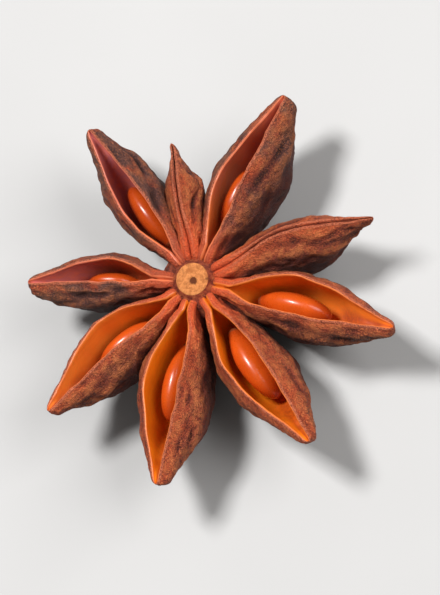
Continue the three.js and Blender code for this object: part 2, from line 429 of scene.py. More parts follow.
    def relief(self, rows: np.ndarray, spots: np.ndarray, from_lip: np.ndarray,
               order: np.ndarray) -> tuple[np.ndarray, np.ndarray]:
        """Works out the wrinkles of the skin, with a ridge along each flank and a cord along each lip.

        Args:
            rows: the share of the carpel's length, for each section.
            spots: where the noise is read, for each point.
            from_lip: how far each point is from the crest of its lip.
            order: each point's place on its half section, counted from the keel.

        Returns:
            How far each point stands out, and how low it lies on the flank, or how far in on the lining.
        """
        rim = self.outer_steps + self.lip_steps
        skin = 1.0 * (order <= self.outer_steps)
        near_lip = hump(from_lip, 0.0, self.lip_reach)
        fold = self.fold_start + self.fold_slope * rows - from_lip
        lumps = noise_at(spots, self.lump_size)
        creases = 1 - 2 * np.abs(noise_at(spots + 0.8 * lumps[..., None], self.wrinkle_size, 11.0))
        crumbs = noise_at(spots, self.crumb_size, 29.0)
        lower = ease(0.9 * lumps + 0.6 * crumbs - fold, -0.1, 1.5) * skin
        lower = lower + np.clip((order - rim) / self.inner_steps, 0.0, 1.0)
        height = (self.lump * lumps + self.wrinkle * creases + self.crumb * crumbs) * self.fade(rows)
        ridge = hump(fold, 0.0, 0.42) - 0.5 * hump(fold, 0.75, 0.4)
        height = height + self.shoulder * ridge * ease(rows, 0.1, 0.3) * (1 - ease(rows, 0.78, 0.95))
        cord = hump(from_lip, 0.25, 0.3) - 1.3 * hump(from_lip, 0.85, 0.25)
        height = height + self.cord * cord * (1 - ease(spots[..., 0], 3.0, 6.0))
        height = height * np.clip(skin + 0.35 * near_lip, 0.0, 1.0) * (1 - 0.5 * near_lip)
        return height + self.lining_lump * lumps * (order >= rim), lower

    def fade(self, rows: np.ndarray) -> np.ndarray:
        """How strong the relief is in each section: it starts at the root and halves at the tip."""
        return ease(rows, 0.0, 0.12) * (1 - 0.5 * ease(rows, 0.9, 1.0))

    def lip_lift(self, rows: np.ndarray, reach: np.ndarray, side: np.ndarray,
                 from_lip: np.ndarray) -> np.ndarray:
        """Works out how the lips wave up and down.

        Args:
            rows: the share of the carpel's length, for each section.
            reach: how far each point is from the pod's axis.
            side: 1 for points right of the middle plane, -1 for the others.
            from_lip: how far each point is from the crest of its lip.

        Returns:
            How far each point is lifted.
        """
        spots = stacked(reach, side * 9.0, self.apart * self.number)
        wave = noise_at(spots, (1.15, 1.0, 1.0), 3.0) + 0.6 * noise_at(spots, (0.42, 1.0, 1.0), 7.0)
        near_lip = hump(from_lip, 0.0, self.lip_reach)
        return self.lip_wave * wave * near_lip * self.fade(rows) * (1.0 if self.carpel.is_open else 0.6)

    def patch(self) -> Patch:
        """Makes the shell's surface with all its relief.

        Returns:
            The patch, in millimetres, turned to the carpel's heading.
        """
        even = np.linspace(0, 1, self.rings + 1)
        t = blend(even, (1 - np.cos(math.pi * even)) / 2, self.gathering)
        right, left = self.half_sections(t, 1), self.half_sections(t, -1)
        steps = right.shape[1]
        u = np.minimum(np.arange(steps) / self.outer_steps, 1.0)[None, :]
        rows = t[:, None]
        outward = right[:, :, 0] * (1 + self.form.ripple * self.ripple(rows, -u))
        inward = -left[:, :, 0] * (1 + self.form.ripple * self.ripple(rows, u))
        across = np.concatenate([outward, inward[:, -2:0:-1]], axis=1)
        up = np.concatenate([right[:, :, 1], left[:, -2:0:-1, 1]], axis=1)
        order = np.concatenate([np.arange(steps), np.arange(steps)[-2:0:-1]])[None, :]
        side = np.where(np.arange(order.size) < steps, 1.0, -1.0)[None, :]

        local = self.stand(rows, across, up)
        reach = local[..., 0]
        from_lip = self.from_lip(right, left)
        spots = local + np.array([0.0, 0.0, self.apart * self.number])
        height, lower = self.relief(rows, spots, from_lip, order)
        lifted = self.lip_lift(rows, reach, side, from_lip)
        points = local + grid_normals(local) * height[..., None]
        points[..., 2] += lifted
        points[..., 1] += 0.5 * lifted * side

        _, depth, *_ = self.sizes(t)
        deep = np.clip(-up / np.maximum(depth[:, None], 0.5), 0.0, 1.0)
        relief = np.clip(height / (self.lump + self.wrinkle), -1.0, 1.0)
        tone = stacked(hump(from_lip, 0.0, self.rim_width), relief, deep)
        place = stacked(reach, self.carpel.greying_and_painted_light, rows)
        edge = stacked(from_lip, lower, self.carpel.flank_shade)
        past_crest = order > self.outer_steps + self.lip_steps / 2 + 0.5
        inner = (past_crest | np.roll(past_crest, -1, axis=1)) & self.carpel.is_open
        surfaces = np.where(inner, Surface.LINING.value, Surface.SKIN.value).repeat(self.rings, axis=0)
        return Patch(self.turned(points), spots, tone, place, edge, surfaces)

    def from_lip(self, right: np.ndarray, left: np.ndarray) -> np.ndarray:
        """Measures how far each point of the sections is from the crest of its lip, along the surface.

        Args:
            right: the right halves of the sections.
            left: the left halves.

        Returns:
            The distances, sections by points of the whole ring.
        """
        crest = self.outer_steps + self.lip_steps // 2
        parts = []
        for half in (right, left):
            step = np.linalg.norm(np.diff(half, axis=1), axis=2)
            along = np.concatenate([np.zeros((len(half), 1)), np.cumsum(step, axis=1)], axis=1)
            parts.append(np.abs(along - along[:, crest:crest + 1]))
        return np.concatenate([parts[0], parts[1][:, -2:0:-1]], axis=1)

    def turned(self, points: np.ndarray) -> np.ndarray:
        """Turns points from the carpel's frame to the pod's.

        Args:
            points: as (along, left, up), in millimetres.

        Returns:
            The points in the pod's frame, in millimetres.
        """
        angle = math.radians(self.carpel.heading)
        cos, sin = math.cos(angle), math.sin(angle)
        spin = np.array([[cos, -sin, 0], [sin, cos, 0], [0, 0, 1]])
        return points @ spin.T + np.array([*self.form.axis, 0.0])


def bezier(p0: tuple, p1: tuple, p2: tuple, p3: tuple, u: np.ndarray) -> np.ndarray:
    """Samples one cubic curve for each section.

    Args:
        p0: the start, as (across, up), each with one value for a section.
        p1: the first control point.
        p2: the second control point.
        p3: the end.
        u: where to sample, from 0 to 1.

    Returns:
        Sections by samples by 2.
    """
    weights = ((1 - u) ** 3, 3 * u * (1 - u) ** 2, 3 * u * u * (1 - u), u**3)
    axes = [sum(w * p[k] for w, p in zip(weights, (p0, p1, p2, p3))) for k in (0, 1)]
    return np.stack(axes, axis=2)


@dataclass
class Column:
    """The pod's short column, with the scar on its top and the broken stub of its stalk below."""

    form: PodForm = field(default_factory=PodForm)
    scar_radius: float = 1.36
    scar_level: float = 7.28
    scar_dome: float = 0.12
    radius: float = 2.9
    shoulder: float = 2.2
    top: float = 6.9
    foot: float = 3.1
    stalk_radius: float = 0.85
    stalk_end: float = 1.35
    pit: tuple[float, float] = (0.16, -0.12)
    pit_radius: float = 0.24
    pit_depth: float = 0.17
    roughness: float = 0.06
    scar_roughness: float = 0.035
    spokes: int = 13
    spoke_height: float = 0.02
    apart: float = -60.0
    segments: int = 110
    step: float = 0.11

    def profile(self) -> np.ndarray:
        """Lists the column's outline.

        Returns:
            Finely spaced points as (radius, height), from the stalk's end up to the middle of the scar.
        """
        corners = np.array([
            (0.02, self.stalk_end), (self.stalk_radius * 0.9, self.stalk_end + 0.1),
            (self.stalk_radius, self.foot - 0.5), (self.stalk_radius * 1.5, self.foot),
            (self.radius, self.foot + 1), (self.radius, self.top - 1.2), (self.shoulder, self.top - 0.3),
            (self.form.root_radius, self.top),
            (self.scar_radius, self.scar_level - 0.1), (self.scar_radius * 0.9, self.scar_level),
            (0.02, self.scar_level + self.scar_dome),
        ])
        pieces = []
        for start, end in zip(corners[:-1], corners[1:]):
            count = max(2, round(float(np.linalg.norm(end - start)) / self.step))
            pieces.append(start + (end - start) * np.linspace(0, 1, count, endpoint=False)[:, None])
        return np.vstack([*pieces, corners[-1:]])

    def patch(self) -> Patch:
        """Makes the column's surface with its relief.

        Returns:
            The patch, in millimetres.
        """
        profile = self.profile()
        angle = np.linspace(0, 2 * math.pi, self.segments, endpoint=False)[None, :]
        radius, height = profile[:, :1], profile[:, 1:]
        points = stacked(radius * np.cos(angle), radius * np.sin(angle), height)
        on_scar = (radius < self.scar_radius * 0.99) & (height > self.top)
        rough = noise_at(points, (0.5, 0.5, 0.5), 17.0) + 0.6 * noise_at(points, (0.22, 0.22, 0.22), 5.0)
        spokes = np.sin(self.spokes * angle + 2 * rough) * ease(radius, 0.3, 1.2)
        scarred = self.scar_roughness * rough + self.spoke_height * spokes
        relief = np.where(on_scar, scarred, self.roughness * rough)
        from_pit = np.hypot(points[..., 0] - self.pit[0], points[..., 1] - self.pit[1]) / self.pit_radius
        relief = relief - np.where(on_scar, self.pit_depth * np.exp(-(from_pit**4)), 0.0)
        moved = points + grid_normals(points) * (0.5 * relief[..., None])
        moved[..., 2] += 0.5 * relief
        flat = 0 * relief  # gives each layer the shape of the whole grid
        return Patch(
            points=moved + np.array([*self.form.axis, 0.0]),
            grain=points + np.array([0.0, 0.0, self.apart]),
            tone=stacked(flat, np.clip(relief / self.roughness, -1, 1), 0.2),
            place=stacked(radius + flat, 0.3, 0.0),
            edge=stacked(flat + 1.5, 0.0, 0.0),
            surfaces=(np.where(on_scar, Surface.SCAR.value, Surface.SKIN.value) + flat)[:-1],
        )


@dataclass
class Husk:
    """The whole husk: the carpels and the column, fused into one piece that lies flat on its keels."""

    carpels: tuple[Carpel, ...] = CARPELS
    crease: float = 42.0
    digits: int = 5
    weld: float = 0.0001
    sliver: float = 0.2

    def fused(self) -> bpy.types.Mesh:
        """Joins the shells and the column and trims the keels at the ground.

        Returns:
            The joined mesh, in millimetres.
        """
        body = Column().patch().build("husk_column")
        shells = []
        for number, carpel in enumerate(self.carpels):
            shells.append(CarpelShell(carpel, number).patch().build(f"husk_{carpel.name}"))
        group = bpy.data.collections.new("husk_shells")
        for shell in shells:
            group.objects.link(shell)
        ground = box_below("husk_ground", 80.0, 10.0)
        for operation, options in (("UNION", {"operand_type": "COLLECTION", "collection": group}),
                                   ("DIFFERENCE", {"operand_type": "OBJECT", "object": ground})):
            modifier = body.modifiers.new(operation.lower(), "BOOLEAN")
            modifier.operation = operation
            modifier.solver = "MANIFOLD"
            for key, value in options.items():
                setattr(modifier, key, value)
        body.modifiers.new("triangles", "TRIANGULATE")
        ready = body.evaluated_get(bpy.context.evaluated_depsgraph_get())
        mesh = bpy.data.meshes.new_from_object(ready)
        for helper in (body, ground, *shells):
            data = helper.data
            bpy.data.objects.remove(helper)
            bpy.data.meshes.remove(data)
        bpy.data.collections.remove(group)
        self.clear_doubles(mesh)
        return mesh

    def clear_doubles(self, mesh: bpy.types.Mesh) -> None:
        """Takes out the faces that the joining leaves back to back in the column, and closes the gaps.

        Args:
            mesh: the joined mesh, in millimetres and all in triangles; it is changed.
        """
        work = bmesh.new()
        work.from_mesh(mesh)
        alike: dict[frozenset, list[bmesh.types.BMFace]] = {}
        for face in work.faces:
            corners = frozenset(tuple(round(value, self.digits) for value in vert.co) for vert in face.verts)
            alike.setdefault(corners, []).append(face)
        doubles = [face for faces in alike.values() if len(faces) > 1 for face in faces]
        bmesh.ops.delete(work, geom=doubles, context="FACES")
        bmesh.ops.remove_doubles(work, verts=work.verts, dist=self.weld)
        flaps = [face for face in work.faces if self.is_flap(face)]
        bmesh.ops.delete(work, geom=flaps, context="FACES")
        gaps = [edge for edge in work.edges if edge.is_boundary and edge.calc_length() < self.sliver]
        bmesh.ops.collapse(work, edges=gaps)
        log.info("husk: %d doubled faces and %d flaps taken out", len(doubles), len(flaps))
        work.to_mesh(mesh)
        work.free()

    @staticmethod
    def is_flap(face: bmesh.types.BMFace) -> bool:
        """Whether a face has an open edge and hangs on an edge that two other faces already share."""
        return any(len(e.link_faces) > 2 for e in face.edges) and any(e.is_boundary for e in face.edges)

    def build(self) -> bpy.types.Object:
        """Makes the husk and dresses it.

        Returns:
            The finished piece.
        """
        mesh = self.fused()
        mesh.name = "pod_husk"
        mesh.transform(Matrix.Scale(MM, 4))
        mesh.shade_smooth()
        mesh.set_sharp_from_angle(angle=math.radians(self.crease))
        surfaces = np.zeros(len(mesh.polygons), dtype=np.int32)
        mesh.polygons.foreach_get("material_index", surfaces)
        mesh.materials.clear()
        for material in (HuskSkin().build(), HuskLining().build(), Scar().build()):
            mesh.materials.append(material)
        mesh.polygons.foreach_set("material_index", surfaces)
        husk = in_scene("pod_husk", mesh)
        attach(husk, "root")
        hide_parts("husk")
        log.info("husk: %d faces", len(mesh.polygons))
        return husk


def box_below(name: str, width: float, depth: float) -> bpy.types.Object:
    """Makes a block with its top at height 0.

    Args:
        name: the new object's name.
        width: its width and length.
        depth: how far it goes down.

    Returns:
        The object, linked to the scene.
    """
    half = width / 2
    outline = ((-half, -half), (half, -half), (half, half), (-half, half))
    corners = [(x, y, z) for z in (-depth, 0.0) for x, y in outline]
    faces = [(3, 2, 1, 0), (4, 5, 6, 7), (0, 1, 5, 4), (1, 2, 6, 5), (2, 3, 7, 6), (3, 0, 4, 7)]
    mesh = bpy.data.meshes.new(name)
    mesh.from_pydata(corners, [], faces)
    for key in LAYERS:
        mesh.attributes.new(key, "FLOAT_VECTOR", "CORNER")
    return in_scene(name, mesh)


# ---- The seeds ----


@dataclass
class Seed:
    """A hard, glossy seed that stands on edge in its carpel."""

    carpel: Carpel
    number: int
    form: PodForm = field(default_factory=PodForm)
    thickness: float = 0.36
    height: float = 0.62
    point: float = 0.22
    dent: float = 0.035
    dent_size: Triple = (2.2, 1.4, 1.4)
    seam_height: float = 0.05
    hilum_depth: float = 0.1
    pole: float = 0.03
    apart: float = 25.0
    rows: int = 64
    columns: int = 72

    def patch(self) -> Patch:
        """Makes the seed's surface lying along x, its inner end towards -x.

        Returns:
            The patch, in millimetres, centred on the seed.
        """
        size = self.carpel.seed
        theta = np.linspace(self.pole, math.pi - self.pole, self.rows)[:, None]
        turn = np.linspace(0, 2 * math.pi, self.columns, endpoint=False)[None, :]
        along = -np.cos(theta) + 0 * turn
        girth = np.sin(theta) * (1 - self.point * np.clip(-along, 0, 1) ** 2)
        side = girth * np.cos(turn)
        up = girth * np.sin(turn)
        seam = hump(side, 0.0, 0.07) * (up < 0)
        hilum = hump(along, -0.93, 0.09)
        shape = stacked(along * size / 2, side * self.thickness * size / 2, up * self.height * size / 2)
        spots = shape + np.array([0.0, 0.0, self.apart * self.number])
        dents = noise_at(spots, self.dent_size)
        relief = self.dent * dents + self.seam_height * seam * girth - self.hilum_depth * hilum
        points = shape + grid_normals(shape) * relief[..., None]
        tone = stacked(hilum, dents, 0.0)
        place = stacked(along, self.carpel.greying_and_painted_light, 0.0)
        return Patch(points, spots, tone, place, 0 * tone, np.zeros((self.rows - 1, self.columns)))

    def build(self, coat: bpy.types.Material) -> bpy.types.Object:
        """Makes the seed in its carpel and dresses it.

        Args:
            coat: the material of the seed's coat.

        Returns:
            The finished piece.
        """
        carpel, form = self.carpel, self.form
        piece = self.patch().build(f"glossy_seed_{carpel.name}")
        middle = -carpel.depth + form.floor + form.seed_gap + self.height * carpel.seed / 2
        t = np.array([carpel.share(carpel.seed_at, form)])
        spot = CarpelShell(carpel, self.number).stand(t, np.array([-carpel.seed_left]), np.array([middle]))[0]
        place = (
            Matrix.Scale(MM, 4)
            @ Matrix.Translation((*form.axis, 0.0))
            @ Matrix.Rotation(math.radians(carpel.heading), 4, "Z")
            @ Matrix.Translation(Vector(spot))
            @ Matrix.Rotation(-math.radians(carpel.lean), 4, "X")
            @ Matrix.Rotation(-math.radians(form.seed_pitch), 4, "Y")
        )
        piece.data.transform(place)
        piece.data.shade_smooth()
        piece.data.materials.append(coat)
        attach(piece, "root")
        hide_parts(f"seed_{carpel.name}")
        log.info("%s: %d faces", piece.name, len(piece.data.polygons))
        return piece


# ---- Finishes ----


def tint(red: int, green: int, blue: int) -> Colour:
    """Turns a screen colour into the linear colour that a shader takes.

    Args:
        red: 0 to 255.
        green: 0 to 255.
        blue: 0 to 255.

    Returns:
        The linear colour, with full alpha.
    """
    screen = (red / 255, green / 255, blue / 255)
    linear = [c / 12.92 if c <= 0.04045 else ((c + 0.055) / 1.055) ** 2.4 for c in screen]
    return (*linear, 1.0)


class Wiring:
    """A node tree under construction, with short ways to add and link nodes."""

    def __init__(self, tree: bpy.types.NodeTree) -> None:
        """Takes over a node tree."""
        self.tree = tree

    def feed(self, node: bpy.types.Node, inputs: dict[Any, Any]) -> None:
        """Links or sets a node's inputs.

        Args:
            node: the node.
            inputs: values or sockets for its inputs, by name or number.
        """
        for key, value in inputs.items():
            if isinstance(value, Socket):
                self.tree.links.new(value, node.inputs[key])
            else:
                node.inputs[key].default_value = value

    def add(self, kind: str, inputs: dict[Any, Any] | None = None, **options: Any) -> bpy.types.Node:
        """Adds a node.

        Args:
            kind: the node's type name.
            inputs: values or sockets for its inputs, by name or number.
            options: properties to set on the node.

        Returns:
            The new node.
        """
        node = self.tree.nodes.new(kind)
        for key, value in options.items():
            setattr(node, key, value)
        self.feed(node, inputs or {})
        return node

    def group(self, tree: bpy.types.NodeTree, **inputs: Any) -> bpy.types.Node:
        """Adds a node group, with values or sockets for its named inputs."""
        return self.add("ShaderNodeGroup", inputs, node_tree=tree)

    def math(self, operation: str, *values: Any, clamp: bool = False) -> Socket:
        """Adds a Math node; clamp keeps its result in 0 to 1."""
        node = self.add("ShaderNodeMath", dict(enumerate(values)), operation=operation, use_clamp=clamp)
        return node.outputs[0]

    def times(self, first: Any, second: Any) -> Socket:
        """Multiplies two numbers."""
        return self.math("MULTIPLY", first, second)

    def mix(self, share: Any, first: Any, second: Any) -> Socket:
        """Mixes two colours; the share is how much of the second."""
        return self.add("ShaderNodeMix", {0: share, 6: first, 7: second}, data_type="RGBA").outputs[2]

    def ramp(self, value: Any, low: Any, high: Any, start: float = 0.0, end: float = 1.0) -> Socket:
        """Maps a value smoothly, so that low gives start and high gives end."""
        inputs = {0: value, 1: low, 2: high, 3: start, 4: end}
        return self.add("ShaderNodeMapRange", inputs, interpolation_type="SMOOTHSTEP").outputs[0]

    def bump(self, height: Any, strength: float, distance: float) -> Socket:
        """Bends the normal by a height; the distance is in metres."""
        inputs = {"Strength": strength, "Distance": distance, "Height": height}
        return self.add("ShaderNodeBump", inputs).outputs[0]

    def grain(self) -> Socket:
        """The mesh's own grain coordinates, in millimetres."""
        node = self.add("ShaderNodeAttribute", attribute_name="grain", attribute_type="GEOMETRY")
        return node.outputs["Vector"]

    def layer(self, name: str) -> tuple[Socket, Socket, Socket]:
        """Reads one of the mesh's named layers.

        Args:
            name: tone, place or edge.

        Returns:
            Its three numbers.
        """
        node = self.add("ShaderNodeAttribute", attribute_name=name, attribute_type="GEOMETRY")
        parts = self.add("ShaderNodeSeparateXYZ", {0: node.outputs["Vector"]})
        return parts.outputs[0], parts.outputs[1], parts.outputs[2]


class Effects:
    """The node groups that several finishes share, each made once."""

    made: ClassVar[dict[str, bpy.types.NodeTree]] = {}

    @classmethod
    def start(cls, name: str, sizes: dict[str, float], outputs: tuple[str, ...]) -> tuple[Wiring, Any, Any]:
        """Starts a node group that takes grain coordinates and sizes, and gives values.

        Args:
            name: the group's name.
            sizes: the default of each size, by name.
            outputs: the names of the values.

        Returns:
            The wiring, and the group's input and output nodes.
        """
        tree = bpy.data.node_groups.new(name, "ShaderNodeTree")
        tree.interface.new_socket("Grain", in_out="INPUT", socket_type="NodeSocketVector")
        for key, value in sizes.items():
            socket = tree.interface.new_socket(key, in_out="INPUT", socket_type="NodeSocketFloat")
            socket.default_value = value
        for key in outputs:
            tree.interface.new_socket(key, in_out="OUTPUT", socket_type="NodeSocketFloat")
        wiring = Wiring(tree)
        cls.made[name] = tree
        return wiring, wiring.add("NodeGroupInput"), wiring.add("NodeGroupOutput")

    @classmethod
    def mottle(cls) -> bpy.types.NodeTree:
        """Uneven patches at a large and a small scale.

        Returns:
            A group with inputs Grain, Size and Contrast, and outputs Patches and Specks.
        """
        if "Mottle" in cls.made:
            return cls.made["Mottle"]
        wiring, source, sink = cls.start("Mottle", {"Size": 1.0, "Contrast": 0.5}, ("Patches", "Specks"))
        grain = source.outputs["Grain"]
        scale = wiring.math("DIVIDE", 1.0, source.outputs["Size"])
        fine = wiring.times(scale, 4.3)
        low = wiring.times(source.outputs["Contrast"], 0.5)
        high = wiring.math("SUBTRACT", 1.0, low)
        clouds = {
            "Patches": {"Vector": grain, "Scale": scale, "Detail": 5.0, "Roughness": 0.6, "Distortion": 0.4},
            "Specks": {"Vector": grain, "Scale": fine, "Detail": 3.0, "Roughness": 0.65},
        }
        for key, inputs in clouds.items():
            cloud = wiring.add("ShaderNodeTexNoise", inputs)
            wiring.feed(sink, {key: wiring.ramp(cloud.outputs[0], low, high)})
        return cls.made["Mottle"]

    @classmethod
    def fibres(cls) -> bpy.types.NodeTree:
        """Fine streaks that run along a carpel.

        Returns:
            A group with inputs Grain, Length and Width, and the output Streaks.
        """
        if "Fibres" in cls.made:
            return cls.made["Fibres"]
        wiring, source, sink = cls.start("Fibres", {"Length": 3.0, "Width": 0.3}, ("Streaks",))
        along = wiring.math("DIVIDE", 1.0, source.outputs["Length"])
        across = wiring.math("DIVIDE", 1.0, source.outputs["Width"])
        stretch = wiring.add("ShaderNodeCombineXYZ", {0: along, 1: across, 2: across}).outputs[0]
        inputs = {0: source.outputs["Grain"], 1: stretch}
        drawn = wiring.add("ShaderNodeVectorMath", inputs, operation="MULTIPLY").outputs[0]
        inputs = {"Vector": drawn, "Scale": 1.0, "Detail": 4.0, "Roughness": 0.55, "Distortion": 0.3}
        wiring.feed(sink, {"Streaks": wiring.add("ShaderNodeTexNoise", inputs).outputs[0]})
        return cls.made["Fibres"]


def new_material(name: str) -> tuple[bpy.types.Material, Wiring, bpy.types.Node]:
    """Starts a material.

    Args:
        name: the material's name.

    Returns:
        The material, its wiring and its Principled shader.
    """
    material = bpy.data.materials.new(name)
    material.use_nodes = True
    return material, Wiring(material.node_tree), material.node_tree.nodes["Principled BSDF"]


@dataclass(frozen=True)
class HuskSkin:
    """The dry, wrinkled skin outside: rust-brown with painted shade in its creases and low down, painted
    light by the lips, tan crests and pale lips.
    """

    crease: Colour = tint(44, 18, 15)
    body: Colour = tint(160, 60, 32)
    ash: Colour = tint(98, 64, 58)
    shoulder: Colour = tint(186, 76, 40)
    under: Colour = tint(66, 26, 25)
    crest: Colour = tint(212, 124, 70)
    heart: Colour = tint(232, 90, 46)
    rim: Colour = tint(198, 110, 78)

    def ground(self, wiring: Wiring, broad: bpy.types.Node) -> Socket:
        """Colours the skin at large: ashen patches, painted light on the shoulders, painted shade low on the
        flanks and on the flanks of some carpels, and a warm heart.

        Args:
            wiring: the material's wiring.
            broad: the large mottle.

        Returns:
            The colour.
        """
        reach, greying_and_painted_light, _ = wiring.layer("place")
        from_lip, lower, flank_shade = wiring.layer("edge")
        patches, specks = broad.outputs["Patches"], broad.outputs["Specks"]
        ashen = wiring.times(patches, wiring.math("ADD", wiring.ramp(reach, 4.0, 10.0, 0.05, 0.4), greying_and_painted_light))
        ashen = wiring.math("ADD", ashen, wiring.times(greying_and_painted_light, 0.4), clamp=True)
        colour = wiring.mix(ashen, self.body, self.ash)
        # Painted light: the shoulders next to the lips are lightened.
        lit = wiring.times(wiring.ramp(from_lip, 1.6, 0.4, 0.0, 0.7), wiring.math("SUBTRACT", 1.0, ashen))
        colour = wiring.mix(lit, colour, self.shoulder)
        # Painted shade: the under colour darkens the lower flank and the flanks of some carpels, mixed with
        # random dark islands of skin.
        island = wiring.math("MAXIMUM", wiring.ramp(specks, 0.5, 0.12, 0.0, 0.6), flank_shade)
        shade = wiring.math("ADD", lower, wiring.times(island, wiring.ramp(from_lip, 0.35, 1.2)))
        shade = wiring.times(wiring.math("MINIMUM", shade, 1.0), wiring.ramp(patches, 0.2, 1.0, 0.92, 0.6))
        colour = wiring.mix(shade, colour, self.under)
        near = wiring.times(wiring.ramp(reach, 6.0, 2.4, 0.0, 0.95), wiring.ramp(from_lip, 1.7, 0.6))
        near = wiring.times(near, wiring.ramp(greying_and_painted_light, 0.0, 1.0, 1.0, 0.5))
        return wiring.mix(near, colour, self.heart)

    def weathered(self, wiring: Wiring, colour: Socket, tight: bpy.types.Node, streaks: Socket) -> Socket:
        """Paints shade into the low parts of the relief, darkens the fibres and pits, and lightens the crests
        and the lips.

        Args:
            wiring: the material's wiring.
            colour: the skin's colour at large.
            tight: the small mottle.
            streaks: the fibres.

        Returns:
            The colour with its marks.
        """
        rim, relief, _ = wiring.layer("tone")
        reach, greying_and_painted_light, along = wiring.layer("place")
        _, lower, _ = wiring.layer("edge")
        patches, specks = tight.outputs["Patches"], tight.outputs["Specks"]
        far = wiring.ramp(reach, 2.0, 5.5, 0.5, 1.0)
        # Painted shade in the low parts of the relief; the fibres and pits are the skin's own dark marks.
        hollow_shade = wiring.ramp(relief, 0.15, -0.5, 0.0, 0.85)
        fibres = wiring.ramp(streaks, 0.54, 0.36, 0.0, 0.3)
        pits = wiring.ramp(specks, 0.45, 0.1, 0.0, 0.6)
        for mark in (hollow_shade, fibres, pits):
            colour = wiring.mix(wiring.times(mark, far), colour, self.crease)
        raised = wiring.math("MULTIPLY", wiring.ramp(relief, -0.1, 0.55), patches, clamp=True)
        flecks = wiring.times(wiring.ramp(specks, 0.55, 0.95), wiring.ramp(along, 0.6, 1.0, 0.3, 1.0))
        tan = wiring.math("ADD", raised, flecks, clamp=True)
        tan = wiring.times(tan, wiring.ramp(lower, 0.1, 0.8, 0.54, 0.12))
        tan = wiring.times(tan, wiring.ramp(greying_and_painted_light, 0.0, 1.0, 1.0, 0.6))
        colour = wiring.mix(tan, colour, self.crest)
        line = wiring.times(wiring.ramp(rim, 0.35, 0.95), wiring.ramp(specks, 0.2, 0.6, 0.3, 1.0))
        line = wiring.times(line, wiring.ramp(reach, 2.0, 5.0, 0.3, 0.85))
        return wiring.mix(line, colour, self.rim)

    def build(self) -> bpy.types.Material:
        """Makes the material.

        Returns:
            The finished material.
        """
        material, wiring, shader = new_material("husk_skin")
        grain = wiring.grain()
        broad = wiring.group(Effects.mottle(), Grain=grain, Size=2.2, Contrast=0.6)
        tight = wiring.group(Effects.mottle(), Grain=grain, Size=0.55, Contrast=0.6)
        streaks = wiring.group(Effects.fibres(), Grain=grain, Length=0.8, Width=0.28).outputs[0]
        specks = tight.outputs["Specks"]
        height = wiring.math("ADD", wiring.times(specks, 0.9), wiring.times(streaks, 0.8))
        wiring.feed(shader, {
            "Base Color": self.weathered(wiring, self.ground(wiring, broad), tight, streaks),
            "Roughness": wiring.ramp(specks, 0.0, 1.0, 0.55, 0.8),
            "Normal": wiring.bump(height, 0.85, 0.00022),
            "Specular IOR Level": 0.25,
        })
        return material


@dataclass(frozen=True)
class HuskLining:
    """The smooth, glossy lining of a cavity: orange-brown, with painted shade in its depth and a painted
    pinkish sheen in some carpels.
    """

    bright: Colour = tint(252, 144, 22)
    warm: Colour = tint(232, 110, 18)
    painted_sheen: Colour = tint(180, 100, 106)
    deep: Colour = tint(136, 46, 12)
    edge: Colour = tint(184, 94, 58)

    def build(self) -> bpy.types.Material:
        """Makes the material.

        Returns:
            The finished material.
        """
        material, wiring, shader = new_material("husk_lining")
        _, _, depth = wiring.layer("tone")
        reach, greying_and_painted_light, along = wiring.layer("place")
        from_lip, inward, _ = wiring.layer("edge")
        grain = wiring.grain()
        broad = wiring.group(Effects.mottle(), Grain=grain, Size=2.0, Contrast=0.5)
        streaks = wiring.group(Effects.fibres(), Grain=grain, Length=4.0, Width=0.35).outputs[0]
        colour = wiring.mix(wiring.times(broad.outputs["Patches"], 0.35), self.bright, self.warm)
        # Painted shade: the deep colour darkens the lining with depth, near the column and along the middle
        # of its floor beyond the seed, and it darkens it towards the tip.
        valley_shade = wiring.times(wiring.ramp(inward, 0.35, 0.9), wiring.ramp(along, 0.55, 0.7, 0.0, 0.85))
        for share in (wiring.ramp(depth, 0.42, 0.75, 0.0, 0.45), wiring.ramp(reach, 5.5, 3.0, 0.0, 0.6),
                      wiring.ramp(along, 0.62, 0.88, 0.0, 0.25), valley_shade):
            colour = wiring.mix(share, colour, self.deep)
        # Painted sheen: a pinkish reflection painted into the lining of some carpels.
        sheen_share = wiring.times(greying_and_painted_light, wiring.ramp(reach, 4.0, 9.0, 0.45, 1.0))
        colour = wiring.mix(sheen_share, colour, self.painted_sheen)
        colour = wiring.mix(wiring.ramp(streaks, 0.35, 0.7, 0.0, 0.3), colour, self.warm)
        wiring.feed(shader, {
            "Base Color": wiring.mix(wiring.ramp(from_lip, 0.3, 0.14, 0.0, 0.7), colour, self.edge),
            "Roughness": wiring.ramp(broad.outputs["Specks"], 0.0, 1.0, 0.3, 0.46),
            "Normal": wiring.bump(streaks, 0.25, 0.00008),
            "Coat Weight": 0.15,
            "Coat Roughness": 0.3,
        })
        return material


@dataclass(frozen=True)
class Scar:
    """The tan, fibrous scar on the column's top."""

    face: Colour = tint(212, 136, 78)
    fleck: Colour = tint(158, 88, 44)
    pit: Colour = tint(96, 48, 24)

    def build(self) -> bpy.types.Material:
        """Makes the material.

        Returns:
            The finished material.
        """
        material, wiring, shader = new_material("scar")
        _, relief, _ = wiring.layer("tone")
        spots = wiring.group(Effects.mottle(), Grain=wiring.grain(), Size=0.32, Contrast=0.7)
        colour = wiring.mix(wiring.times(spots.outputs["Patches"], 0.8), self.face, self.fleck)
        wiring.feed(shader, {
            "Base Color": wiring.mix(wiring.ramp(relief, -0.25, -0.95), colour, self.pit),
            "Roughness": wiring.ramp(spots.outputs["Specks"], 0.0, 1.0, 0.6, 0.8),
            "Normal": wiring.bump(spots.outputs["Specks"], 0.6, 0.00015),
            "Specular IOR Level": 0.2,
        })
        return material


